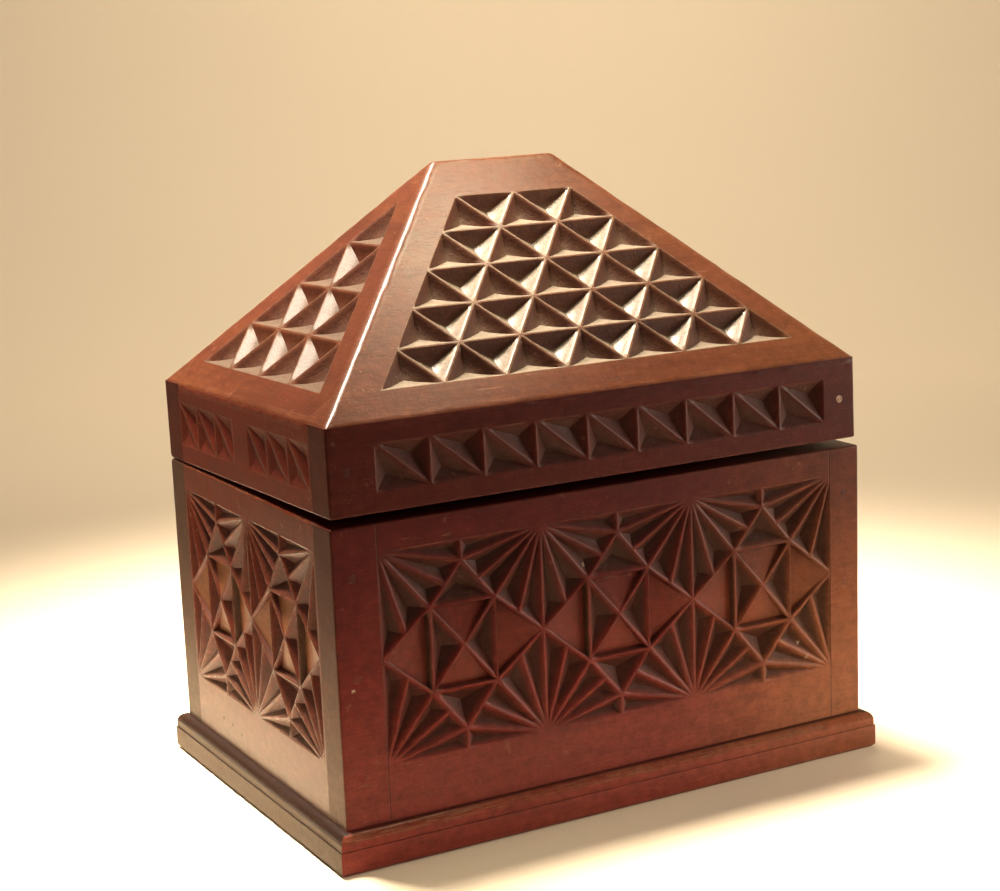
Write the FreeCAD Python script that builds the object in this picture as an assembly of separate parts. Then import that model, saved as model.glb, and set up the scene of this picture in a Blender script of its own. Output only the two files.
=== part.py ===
"""Chip-carved wooden box with a hipped lid on two butt hinges.

The origin is at the centre of the base's underside. +X runs to the right along
the front, +Y runs to the back and +Z is up. All sizes are in millimetres.
"""
import FreeCAD, Part
import math
import os

V = FreeCAD.Vector

# Case: four walls standing on one moulded base board
case_width = 200.0
case_depth = 138.0
wall_height = 96.0
wall = 12.7

# Base board: a flat ledge, a rounded nose, a small step and a plain edge
base_thickness = 13.2
base_overhang = 4.0
nose_radius = 3.3
nose_step = 0.4
nose_height = 5.2
base_chamfer = 1.0

# Lid: a rim of four boards under a hipped roof of four mitred boards
lid_right_setback = 2.0
lid_front_overhang = 1.0
rim_height = 28.0
roof_rise = 74.2
ridge_length = 45.0
ridge_flat = 2.0
roof_board = 9.0

# Lid hinging: the lid stands a little open at the front and stops on bevels
rest_angle = 1.25
open_angle = 100.0
stop_clearance = 0.8
seam_gap = 0.2

# Butt hinges, let into the back wall and the back of the rim
hinge_end_margin = 42.0
hinge_length = 30.0
hinge_inset = 1.8
leaf_width = 8.0
leaf_thickness = 1.2
knuckle_radius = 2.2
knuckle_count = 5
knuckle_gap = 0.15
knuckle_room = 0.3
hinge_pin_radius = 1.0
running_clearance = 0.05
mortise_clearance = 0.15

# Hinge screws, two to a leaf
hinge_screw_spacing = 17.0
hinge_screw_inset = 5.4
hinge_screw_head = 1.8
hinge_screw_shank = 0.9
hinge_screw_length = 9.0

# Base screws, from below into the walls
base_screw_end_margin = 30.0
base_screw_head = 3.4
base_screw_shank = 1.7
base_screw_length = 30.0
base_screw_recess = 0.4

# Pins, from the front and the back into the ends of the side boards
pin_radius = 0.8
pin_head_radius = 1.3
pin_head_height = 0.8
pin_length = 28.0
pin_end_margin = 16.0
pins_per_corner = 3

# Fits of the fasteners
screw_clearance = 0.08
screw_mouth = 1.2
screw_slot_width = 0.6
pin_clearance = 0.05

# Carving: three-sided pits, all cut at one knife angle, and ramps that end at a steep wall
knife_angle = 37.0
ridge_land = 0.6
chip_lead = 0.5
ramp_depth = 2.2
ramp_wall = 0.8

# Wall panels: tiles of four quarter fans round a square of triangles
front_tiles = 3
side_tiles = 2
panel_side_margin = 13.6
panel_low_margin = 18.0
panel_high_margin = 9.0
joint_border = 0.8
front_pattern_shift = 1.4
tile_square = 0.2
tile_tip = 0.1
fan_splits = 2

# Rim panels: rows of cells, each split by a diagonal
front_cells = 9
side_group_cells = 3
side_group_gap = 11.8
rim_side_margin = 14.2
rim_edge_margin = 6.2

# Roof panels: triangular lattices parallel to the hips
front_rows = 5
front_top_units = 2
side_rows = 4
side_top_units = 0
lattice_low_margin = 10.8
lattice_hip_margin = 10.4

# Places worked out from the sizes above
half_width = case_width / 2
half_depth = case_depth / 2
axis_y = half_depth - hinge_inset
axis_z = base_thickness + wall_height + seam_gap / 2
case_top = axis_z - seam_gap / 2
rim_bottom = axis_z + seam_gap / 2
rim_top = rim_bottom + rim_height
lid_left = -half_width
lid_right = half_width - lid_right_setback
lid_back = half_depth
lid_front = -half_depth - lid_front_overhang
lid_width = lid_right - lid_left
lid_depth = lid_back - lid_front
lid_shift = (lid_left + lid_right) / 2
lid_middle = (lid_front + lid_back) / 2
front_run = lid_depth / 2
side_run = (lid_width - ridge_length) / 2
front_slope = math.atan2(roof_rise, front_run)
side_slope = math.atan2(roof_rise, side_run)
bevel_angle = math.radians((open_angle + rest_angle + stop_clearance) / 2)
HINGES = {"left": hinge_end_margin - half_width, "right": half_width - hinge_end_margin}


# Basic solids

def block(x0, x1, y0, y1, z0, z1):
    return Part.makeBox(x1 - x0, y1 - y0, z1 - z0, V(x0, y0, z0))


def rod(start, direction, radius, length):
    return Part.makeCylinder(radius, length, start, direction)


def convex_solid(loops):
    """A closed solid from the corner loops of its flat faces, whichever way they run."""
    corners = [corner for loop in loops for corner in loop]
    middle = sum(corners, V()) * (1.0 / len(corners))
    faces = []
    for loop in loops:
        centre = sum(loop, V()) * (1.0 / len(loop))
        normal = (loop[1] - loop[0]).cross(loop[2] - loop[0])
        outward = normal.dot(centre - middle) > 0
        ordered = loop if outward else loop[::-1]
        faces.append(Part.Face(Part.makePolygon(ordered + ordered[:1])))
    return Part.makeSolid(Part.makeShell(faces))


def prism(first, second):
    """The solid between two polygons with the same number of corners."""
    count = len(first)
    sides = []
    for i in range(count):
        j = (i + 1) % count
        sides.append([first[i], first[j], second[j], second[i]])
    return convex_solid([first, second] + sides)


def pyramid(base, apex):
    count = len(base)
    sides = [[base[i], base[(i + 1) % count], apex] for i in range(count)]
    return convex_solid([base] + sides)


def group(solids):
    return Part.makeCompound(solids)


# Carving

class CarvedFace:
    """A flat face to carve: u runs across it, v runs up it, and depth goes into the wood."""

    def __init__(self, origin, across, up):
        self.origin = origin
        self.across = across
        self.up = up
        self.out = across.cross(up)

    def point(self, u, v, depth=0.0):
        return self.origin + self.across * u + self.up * v - self.out * depth


def between(start, end, share):
    return tuple(a + (b - a) * share for a, b in zip(start, end))


def incentre(triangle):
    """The centre and the radius of the circle inside a triangle of (u, v) corners."""
    a, b, c = triangle
    sides = [math.dist(b, c), math.dist(c, a), math.dist(a, b)]
    perimeter = sum(sides)
    centre = tuple(sum(s * p[k] for s, p in zip(sides, triangle)) / perimeter for k in (0, 1))
    doubled_area = abs((b[0] - a[0]) * (c[1] - a[1]) - (c[0] - a[0]) * (b[1] - a[1]))
    return centre, doubled_area / perimeter


def pit(face, triangle):
    """The wood that leaves one pit: deepest at the incentre, with half a ridge left on each side."""
    centre, radius = incentre(triangle)
    cut_radius = radius - ridge_land / 2
    depth = cut_radius * math.tan(math.radians(knife_angle))
    spread = cut_radius / radius * (depth + chip_lead) / depth
    corners = []
    for u, v in triangle:
        lead_u = centre[0] + (u - centre[0]) * spread
        lead_v = centre[1] + (v - centre[1]) * spread
        corners.append(face.point(lead_u, lead_v, -chip_lead))
    return pyramid(corners, face.point(centre[0], centre[1], depth))


def ramp(face, triangle):
    """The wood that leaves one ramp: from the first corner down to a steep wall at the other two."""
    centre, radius = incentre(triangle)

    def inset(corner, distance):
        return between(centre, corner, 1 - distance / radius)

    top = [inset(corner, ridge_land / 2) for corner in triangle]
    foot = [inset(corner, ridge_land / 2 + ramp_wall) for corner in triangle]
    first, second = [between(foot[i], top[i], 1 + chip_lead / ramp_depth) for i in (1, 2)]
    grown = math.dist(first, second) / math.dist(top[1], top[2])
    start = [f + (a - b) * grown for f, a, b in zip(first, top[0], top[1])]
    lead = [face.point(u, v, -chip_lead) for u, v in (start, first, second)]
    floor = [face.point(*top[0])] + [face.point(u, v, ramp_depth) for u, v in foot[1:]]
    return prism(lead, floor)


def fan_tile(middle_u, middle_v, width, height):
    """The pits and ramps of one wall tile: quarter fans in its corners round a square of triangles."""

    def place(u, v):
        return (middle_u + u * width, middle_v + v * height)

    tip = 0.5 - tile_tip
    square = tile_square
    centre = place(0, 0)
    pits = []
    ramps = []
    for side in (-1, 1):
        for end in (-1, 1):
            hub = place(side * 0.5, end * 0.5)
            edge = [place(0, end * 0.5), place(0, end * tip)]
            for corner in (place(side * square, end * square), place(side * 0.5, 0)):
                start = edge[-1]
                edge += [between(start, corner, (i + 1) / fan_splits) for i in range(fan_splits)]
            pits += [[hub, edge[i], edge[i + 1]] for i in range(len(edge) - 1)]
        upper = place(side * square, square)
        lower = place(side * square, -square)
        pits.append([centre, upper, lower])
        ramps.append([place(side * 0.5, 0), upper, lower])
    for end in (-1, 1):
        left = place(-square, end * square)
        right = place(square, end * square)
        pits.append([place(0, end * tip), left, right])
        ramps.append([centre, left, right])
    return pits, ramps


def wall_panel(low_u, high_u, tiles):
    pits = []
    ramps = []
    width = (high_u - low_u) / tiles
    height = wall_height - panel_low_margin - panel_high_margin
    middle_v = panel_low_margin + height / 2
    for i in range(tiles):
        more_pits, more_ramps = fan_tile(low_u + (i + 0.5) * width, middle_v, width, height)
        pits += more_pits
        ramps += more_ramps
    return pits, ramps


def cell_row(low_u, high_u, cells):
    """Square cells side by side, each two pits with the ridge from top left to bottom right."""
    pits = []
    width = (high_u - low_u) / cells
    low_v = rim_edge_margin
    high_v = rim_height - rim_edge_margin
    for i in range(cells):
        left = low_u + i * width
        right = left + width
        pits.append([(left, low_v), (right, low_v), (left, high_v)])
        pits.append([(right, high_v), (right, low_v), (left, high_v)])
    return pits


def hip_lattice(bottom_width, run_per_rise, rows, top_units):
    """Rows of up and down triangles, whose outer edges run beside the hips."""
    hip_margin = lattice_hip_margin * math.hypot(1, run_per_rise)
    low_half = bottom_width / 2 - run_per_rise * lattice_low_margin - hip_margin
    unit = 2 * low_half / (top_units + rows)
    row_height = unit / 2 / run_per_rise
    pits = []
    for row in range(rows):
        low_v = lattice_low_margin + row * row_height
        high_v = low_v + row_height
        low_units = top_units + rows - row
        low_u = -low_units * unit / 2
        high_u = low_u + unit / 2
        for i in range(low_units):
            left = low_u + i * unit
            top = high_u + i * unit
            pits.append([(left, low_v), (left + unit, low_v), (top, high_v)])
            if i < low_units - 1:
                pits.append([(top, high_v), (top + unit, high_v), (left + unit, low_v)])
    return pits


def shifted(pits, shift):
    return [[(u + shift, v) for u, v in triangle] for triangle in pits]


def carve(board, face, pits, ramps=()):
    tools = [pit(face, triangle) for triangle in pits]
    tools += [ramp(face, triangle) for triangle in ramps]
    return board.cut(tools)


# Fasteners

def screw_body(head_radius, shank_radius, length):
    """A countersunk screw along +Z with its flat head at z = 0."""
    head_height = head_radius - shank_radius
    tip_length = 2 * shank_radius
    head = Part.makeCone(head_radius, shank_radius, head_height)
    shank = rod(V(0, 0, head_height), V(0, 0, 1), shank_radius, length - head_height - tip_length)
    tip = Part.makeCone(shank_radius, 0, tip_length, V(0, 0, length - tip_length))
    return head.fuse([shank, tip]).removeSplitter()


def slotted_screw(head_radius, shank_radius, length):
    slot_depth = (head_radius - shank_radius) / 2
    slot = block(-head_radius, head_radius, -screw_slot_width / 2, screw_slot_width / 2, 0, slot_depth)
    return screw_body(head_radius, shank_radius, length).cut(slot)


def screw_hole(head_radius, shank_radius, length):
    grown = screw_clearance
    hole = screw_body(head_radius + grown, shank_radius + grown, length + grown)
    mouth = rod(V(0, 0, -screw_mouth), V(0, 0, 1), head_radius + grown, screw_mouth)
    return hole.fuse(mouth)


def placed(shape, point, upright=True):
    """A copy of a shape made along +Z, stood at a point or hung upside down from it."""
    copy = shape.copy()
    if not upright:
        copy.rotate(V(), V(1, 0, 0), 180)
    copy.translate(point)
    return copy


def pin_body(point, direction, grown):
    head = rod(point, direction, pin_head_radius + grown, pin_head_height + grown)
    return head.fuse(rod(point, direction, pin_radius + grown, pin_length + grown)).removeSplitter()


def pin_points(left, right, front, back, heights):
    """Where pins enter, and which way: through the front and back boards, down the side boards' middles."""
    points = []
    for x in (left + wall / 2, right - wall / 2):
        for z in heights:
            points.append((V(x, front, z), V(0, 1, 0)))
            points.append((V(x, back, z), V(0, -1, 0)))
    return points


def case_pin_points():
    span = wall_height - 2 * pin_end_margin
    step = span / (pins_per_corner - 1)
    heights = [base_thickness + pin_end_margin + i * step for i in range(pins_per_corner)]
    return pin_points(-half_width, half_width, -half_depth, half_depth, heights)


def rim_pin_points():
    return pin_points(lid_left, lid_right, lid_front, lid_back, [rim_bottom + rim_height / 2])


def pins(points):
    return group([pin_body(point, direction, 0) for point, direction in points])


def pin_holes(points):
    return [pin_body(point, direction, pin_clearance) for point, direction in points]


def base_screw_points():
    reach = half_width - base_screw_end_margin
    along = [-reach, 0, reach]
    row = half_depth - wall / 2
    points = [V(x, y, base_screw_recess) for x in along for y in (-row, row)]
    return points + [V(x, 0, base_screw_recess) for x in (wall / 2 - half_width, half_width - wall / 2)]


def base_screws():
    screw = slotted_screw(base_screw_head, base_screw_shank, base_screw_length)
    return group([placed(screw, point) for point in base_screw_points()])


def base_screw_holes():
    hole = screw_hole(base_screw_head, base_screw_shank, base_screw_length)
    return [placed(hole, point) for point in base_screw_points()]


def hinge_screw_points(centre_x, inner_z):
    y = axis_y - hinge_screw_inset
    return [V(centre_x + side * hinge_screw_spacing / 2, y, inner_z) for side in (-1, 1)]


def hinge_screw_seats(upright):
    """Each hinge screw's head point: on the case leaf's top, or on the lid leaf's underside."""
    inner_z = rim_bottom if upright else case_top
    return [point for x in HINGES.values() for point in hinge_screw_points(x, inner_z)]


def hinge_screws(upright):
    screw = slotted_screw(hinge_screw_head, hinge_screw_shank, hinge_screw_length)
    return group([placed(screw, point, upright) for point in hinge_screw_seats(upright)])


def hinge_screw_holes(upright):
    hole = screw_hole(hinge_screw_head, hinge_screw_shank, hinge_screw_length)
    return [placed(hole, point, upright) for point in hinge_screw_seats(upright)]


# Hinges

def leaf_heights(upright):
    """Where a leaf's plate begins and ends in height: above the seam on the lid, below it on the case."""
    if upright:
        return rim_bottom, rim_bottom + leaf_thickness
    return case_top - leaf_thickness, case_top


def knuckle_spans(centre_x, first):
    """The stretches of the barrel that belong to one leaf: every second knuckle, from the first."""
    length = hinge_length / knuckle_count
    start = centre_x - hinge_length / 2
    spans = []
    for i in range(first, knuckle_count, 2):
        spans.append((start + i * length + knuckle_gap / 2, start + (i + 1) * length - knuckle_gap / 2))
    return spans


def hinge_leaf(centre_x, upright):
    low_z, high_z = leaf_heights(upright)
    plate_y = axis_y - knuckle_radius - knuckle_room
    half = hinge_length / 2
    plate = block(centre_x - half, centre_x + half, axis_y - leaf_width, plate_y, low_z, high_z)
    pieces = []
    for x0, x1 in knuckle_spans(centre_x, 1 if upright else 0):
        pieces.append(block(x0, x1, plate_y, axis_y, low_z, high_z))
        pieces.append(rod(V(x0, axis_y, axis_z), V(1, 0, 0), knuckle_radius, x1 - x0))
    bore_radius = hinge_pin_radius + running_clearance
    bore = rod(V(centre_x - half, axis_y, axis_z), V(1, 0, 0), bore_radius, hinge_length)
    leaf = plate.fuse(pieces).removeSplitter()
    return leaf.cut([bore] + hinge_screw_holes(upright))


def hinge_pin(centre_x):
    return rod(V(centre_x - hinge_length / 2, axis_y, axis_z), V(1, 0, 0), hinge_pin_radius, hinge_length)


def hinge_room(upright):
    """The mortise for each leaf and the hollow round each barrel."""
    low_z, high_z = leaf_heights(upright)
    low_z, high_z = (rim_bottom - seam_gap, high_z) if upright else (low_z, case_top + seam_gap)
    room = []
    for x in HINGES.values():
        half = hinge_length / 2 + mortise_clearance
        front_y = axis_y - leaf_width - mortise_clearance
        room.append(block(x - half, x + half, front_y, axis_y, low_z, high_z))
        barrel_start = V(x - half, axis_y, axis_z)
        room.append(rod(barrel_start, V(1, 0, 0), knuckle_radius + knuckle_room, 2 * half))
    return room


def stop_bevel(left, right, upright):
    """The wedge planed off behind the hinge line, so that the open lid leans on the back wall."""
    rise = 1 if upright else -1
    seam_z = rim_bottom if upright else case_top
    reach = 2 * hinge_inset
    drop = reach * math.tan(bevel_angle)
    sections = []
    for x in (left - wall, right + wall):
        hinge_line = V(x, axis_y, seam_z)
        far_seam = V(x, axis_y + reach, seam_z)
        far_drop = V(x, axis_y + reach, seam_z + rise * drop)
        sections.append([hinge_line, far_seam, far_drop])
    return prism(*sections)


# Case

def base_board():
    edge_x = half_width + base_overhang
    edge_y = half_depth + base_overhang
    step_z = base_thickness - nose_height
    lower = block(-edge_x, edge_x, -edge_y, edge_y, 0, step_z)
    lower = lower.makeChamfer(base_chamfer, [e for e in lower.Edges if e.BoundBox.ZMax < step_z / 2])
    nose_x = edge_x - nose_step
    nose_y = edge_y - nose_step
    upper = block(-nose_x, nose_x, -nose_y, nose_y, step_z, base_thickness)
    nose_edges = [e for e in upper.Edges if e.BoundBox.ZMin > base_thickness - nose_height / 2]
    upper = upper.makeFillet(nose_radius, nose_edges)
    return lower.fuse(upper).removeSplitter().cut(base_screw_holes())


def long_wall(front):
    """The front or the back wall, which runs the whole width and covers the side walls' ends."""
    sign = -1 if front else 1
    y0, y1 = sorted((sign * half_depth, sign * (half_depth - wall)))
    board = block(-half_width, half_width, y0, y1, base_thickness, case_top)
    face = CarvedFace(V(0, sign * half_depth, base_thickness), V(-sign, 0, 0), V(0, 0, 1))
    low_u = panel_side_margin - half_width + front_pattern_shift
    high_u = half_width - panel_side_margin + front_pattern_shift
    board = carve(board, face, *wall_panel(low_u, high_u, front_tiles))
    cuts = base_screw_holes() + pin_holes(case_pin_points())
    if not front:
        cuts += hinge_room(False) + hinge_screw_holes(False)
        cuts.append(stop_bevel(-half_width, half_width, False))
    return board.cut(cuts)


def side_wall(left):
    """A side wall, which fits between the front and back walls."""
    sign = -1 if left else 1
    inner_half = half_depth - wall
    x0, x1 = sorted((sign * half_width, sign * (half_width - wall)))
    board = block(x0, x1, -inner_half, inner_half, base_thickness, case_top)
    face = CarvedFace(V(sign * half_width, 0, base_thickness), V(0, sign, 0), V(0, 0, 1))
    reach = inner_half - joint_border
    board = carve(board, face, *wall_panel(-reach, reach, side_tiles))
    return board.cut(base_screw_holes() + pin_holes(case_pin_points()))


# Lid, made level and then opened to where it rests

def long_rim(front):
    y0, y1 = (lid_front, lid_front + wall) if front else (lid_back - wall, lid_back)
    board = block(lid_left, lid_right, y0, y1, rim_bottom, rim_top)
    sign = -1 if front else 1
    face = CarvedFace(V(lid_shift, lid_front if front else lid_back, rim_bottom), V(-sign, 0, 0), V(0, 0, 1))
    low_u = rim_side_margin - lid_width / 2 + front_pattern_shift
    high_u = lid_width / 2 - rim_side_margin + front_pattern_shift
    board = carve(board, face, cell_row(low_u, high_u, front_cells))
    cuts = pin_holes(rim_pin_points())
    if not front:
        cuts += hinge_room(True) + hinge_screw_holes(True)
        cuts.append(stop_bevel(lid_left, lid_right, True))
    return board.cut(cuts)


def side_rim(left):
    sign = -1 if left else 1
    outer = lid_left if left else lid_right
    x0, x1 = sorted((outer, outer - sign * wall))
    board = block(x0, x1, lid_front + wall, lid_back - wall, rim_bottom, rim_top)
    face = CarvedFace(V(outer, lid_middle, rim_bottom), V(0, sign, 0), V(0, 0, 1))
    reach = lid_depth / 2 - wall - joint_border
    pits = cell_row(-reach, -side_group_gap / 2, side_group_cells)
    pits += cell_row(side_group_gap / 2, reach, side_group_cells)
    return carve(board, face, pits).cut(pin_holes(rim_pin_points()))


def roof_corners(inset):
    """The hipped roof's corners on a surface that lies inset from the outside, square to each slope."""
    step_x = inset / math.sin(side_slope)
    step_y = inset / math.sin(front_slope)
    ridge_z = rim_top + roof_rise - inset / math.cos(front_slope)
    ridge_step = step_x + (ridge_z - rim_top) / math.tan(side_slope)
    return {
        "front_left": V(lid_left + step_x, lid_front + step_y, rim_top),
        "front_right": V(lid_right - step_x, lid_front + step_y, rim_top),
        "back_left": V(lid_left + step_x, lid_back - step_y, rim_top),
        "back_right": V(lid_right - step_x, lid_back - step_y, rim_top),
        "ridge_left": V(lid_left + ridge_step, lid_middle, ridge_z),
        "ridge_right": V(lid_right - ridge_step, lid_middle, ridge_z),
    }


def roof_slab(names):
    """A roof board between the outside and the inside, mitred to its neighbours, flat at the ridge."""
    outer = roof_corners(0)
    inner = roof_corners(roof_board)
    slab = prism([outer[name] for name in names], [inner[name] for name in names])
    flat_z = rim_top + roof_rise - ridge_flat / 2 * math.tan(front_slope)
    return slab.cut(block(lid_left, lid_right, lid_front, lid_back, flat_z, rim_top + roof_rise + wall))


def long_roof(front):
    sign = -1 if front else 1
    near = "front" if front else "back"
    slab = roof_slab([near + "_left", near + "_right", "ridge_right", "ridge_left"])
    foot = V(lid_shift, lid_front if front else lid_back, rim_top)
    uphill = V(0, -sign * math.cos(front_slope), math.sin(front_slope))
    face = CarvedFace(foot, V(-sign, 0, 0), uphill)
    run_per_rise = side_run / math.hypot(front_run, roof_rise)
    pits = hip_lattice(lid_width, run_per_rise, front_rows, front_top_units)
    return carve(slab, face, shifted(pits, front_pattern_shift))


def side_roof(left):
    sign = -1 if left else 1
    near = "left" if left else "right"
    slab = roof_slab(["front_" + near, "back_" + near, "ridge_" + near])
    foot = V(lid_left if left else lid_right, lid_middle, rim_top)
    uphill = V(-sign * math.cos(side_slope), 0, math.sin(side_slope))
    face = CarvedFace(foot, V(0, sign, 0), uphill)
    run_per_rise = front_run / math.hypot(side_run, roof_rise)
    pits = hip_lattice(lid_depth, run_per_rise, side_rows, side_top_units)
    return carve(slab, face, pits)


def at_rest(shape):
    """A lid piece turned about the hinge line, from level to where the lid rests."""
    turned = shape.copy()
    turned.rotate(V(0, axis_y, axis_z), V(-1, 0, 0), rest_angle)
    return turned


def case_pieces():
    pieces = {
        "base_board": base_board(),
        "front_wall": long_wall(True),
        "back_wall": long_wall(False),
        "left_wall": side_wall(True),
        "right_wall": side_wall(False),
        "wall_pins": pins(case_pin_points()),
        "base_screws": base_screws(),
        "hinge_case_screws": hinge_screws(False),
    }
    for side, x in HINGES.items():
        pieces["hinge_case_leaf_" + side] = hinge_leaf(x, False)
        pieces["hinge_pin_" + side] = hinge_pin(x)
    return pieces


def lid_pieces():
    pieces = {
        "rim_front": long_rim(True),
        "rim_back": long_rim(False),
        "rim_left": side_rim(True),
        "rim_right": side_rim(False),
        "rim_pins": pins(rim_pin_points()),
        "roof_front": long_roof(True),
        "roof_back": long_roof(False),
        "roof_left": side_roof(True),
        "roof_right": side_roof(False),
        "hinge_lid_screws": hinge_screws(True),
    }
    for side, x in HINGES.items():
        pieces["hinge_lid_leaf_" + side] = hinge_leaf(x, True)
    return {name: at_rest(shape) for name, shape in pieces.items()}


os.makedirs("parts", exist_ok=True)
for name, shape in {**case_pieces(), **lid_pieces()}.items():
    print(name, "solids", len(shape.Solids), "valid", shape.isValid())
    shape.exportStep("parts/" + name + ".step")
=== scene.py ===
"""Looks of a chip-carved wooden box: worn varnish on reddish wood, brass hinges, iron pins and screws.

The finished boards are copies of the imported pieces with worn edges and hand-cut unevenness.
All sizes are in metres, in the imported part's own frame.
"""
import bmesh
import bpy
import itertools
import math
from mathutils import Matrix, Vector, geometry, noise


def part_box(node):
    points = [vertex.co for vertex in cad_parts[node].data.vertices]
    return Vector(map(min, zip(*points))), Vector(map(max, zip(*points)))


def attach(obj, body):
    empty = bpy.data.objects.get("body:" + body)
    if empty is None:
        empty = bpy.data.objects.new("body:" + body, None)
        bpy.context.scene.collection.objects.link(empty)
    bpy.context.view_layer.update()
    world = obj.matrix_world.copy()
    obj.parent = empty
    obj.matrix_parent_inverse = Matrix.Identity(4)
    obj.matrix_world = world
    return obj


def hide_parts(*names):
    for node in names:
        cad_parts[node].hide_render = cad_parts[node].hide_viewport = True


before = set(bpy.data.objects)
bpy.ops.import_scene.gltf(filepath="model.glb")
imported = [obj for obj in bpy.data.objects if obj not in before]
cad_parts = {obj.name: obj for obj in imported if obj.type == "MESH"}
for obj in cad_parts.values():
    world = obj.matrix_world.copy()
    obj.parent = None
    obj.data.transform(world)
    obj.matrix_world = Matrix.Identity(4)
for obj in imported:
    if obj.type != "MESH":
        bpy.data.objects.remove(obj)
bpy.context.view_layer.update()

MM = 0.001
IMAGE_WIDTH = 1000
IMAGE_HEIGHT = 891

# Camera: angles, distance and focal length in pixels, and where a point on the box's axis shows
camera_azimuth = math.radians(-28.45)
camera_elevation = math.radians(11.44)
camera_roll = math.radians(-2.295)
camera_focal_pixels = 2067.2
camera_distance = 729.3 * MM
sight_point = Vector((0, 0, 100 * MM))
sight_pixel = (509.3, 476.7)
sensor_width = 36.0

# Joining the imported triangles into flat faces
merge_distance = 2e-6
flat_angle = math.radians(0.3)

# Wear: rounded crests between the chips, softened edges of the boards, and round hips and ridge
crest_round = 0.16 * MM
board_round = 0.7 * MM
joint_round = 0.14 * MM
metal_round = 0.15 * MM
board_round_steps = 3
joint_round_steps = 1
metal_round_steps = 2
edge_unevenness = 0.35
edge_step = 6 * MM
edge_wave_reach = 9 * MM
shortest_edge = 8 * MM
sharp_turn = math.radians(25)
plane_slack = 0.1 * MM
hinge_margin = 1.0 * MM
hip_round = 3.2 * MM
ridge_round = 2.2 * MM
eave_round = 2.8 * MM
eave_point_step = 4.0 * MM
ridge_unevenness = 0.38
ridge_wave_reach = 7 * MM
roof_edge_step = 1.0 * MM
ridge_rows = (0.3 * MM, 0.7 * MM, 1.1 * MM, 1.5 * MM, 1.95 * MM, 2.6 * MM)
row_margin = 0.3 * MM
longest_roof_chip = 25 * MM
ridge_depth = 1.0 * MM
ridge_wear = 0.6
wear_band = 1.5
ridge_band = 1.1
crest_drop = 0.25
crest_strips = 2
metal_turn = math.radians(60)

# How squarely a face has to look one way to count as a board's side, its sawn end or the top of the ridge
side_facing = 0.9
end_facing = 0.8
ridge_facing = 0.95

# How the faces of the base's moulded edge lean: its ends, its back, and the ledges and bead along its front
moulding_end_lean = 0.5
moulding_back_lean = 0.3
end_ledge_lean = 0.15
foot_ledge_lean = 0.9
bead_lean = 0.2

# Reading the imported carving: what counts as the surface, and how deep a chip can be
surface_slack = 0.05 * MM
chip_limit = 6.0 * MM
ramp_wall = 0.8 * MM
ramp_head = 0.06

# Hand-cut unevenness: how far corners and floors stray, and over what distance that changes
corner_stray = 0.20 * MM
corner_stray_reach = 14 * MM
floor_stray = 0.5 * MM
floor_room = 0.35
floor_stray_reach = 5 * MM
wall_scoop = 0.30
roof_scoop = 0.55
facet_wave = 0.06 * MM
facet_wave_reach = 2.5 * MM
STRAY_SHIFT = (3.7, 1.3, 2.9)
WEAR_SHIFT = (5.1, 2.3, 7.7)
facet_shares = (0.25, 0.45, 0.65, 0.82, 0.94)
ramp_shares = (0.6, 1.0)
ring_spacing = 3.0 * MM
deep_hollow = 4.0 * MM
wide_ramp = 2.6 * MM
# How much dirt and painted shade the floors of wide ramps and of fans hold
wide_ramp_dirt_and_shade = 0.12
fan_dirt_and_shade = 0.32

# A fixed seed, so that the strays are the same in each run
stray_seed = 7
noise.seed_set(stray_seed)


def shifted(seed, steps):
    """Where one board's part of an endless noise begins."""
    return Vector([seed * step for step in steps])


# Shader expressions

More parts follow.
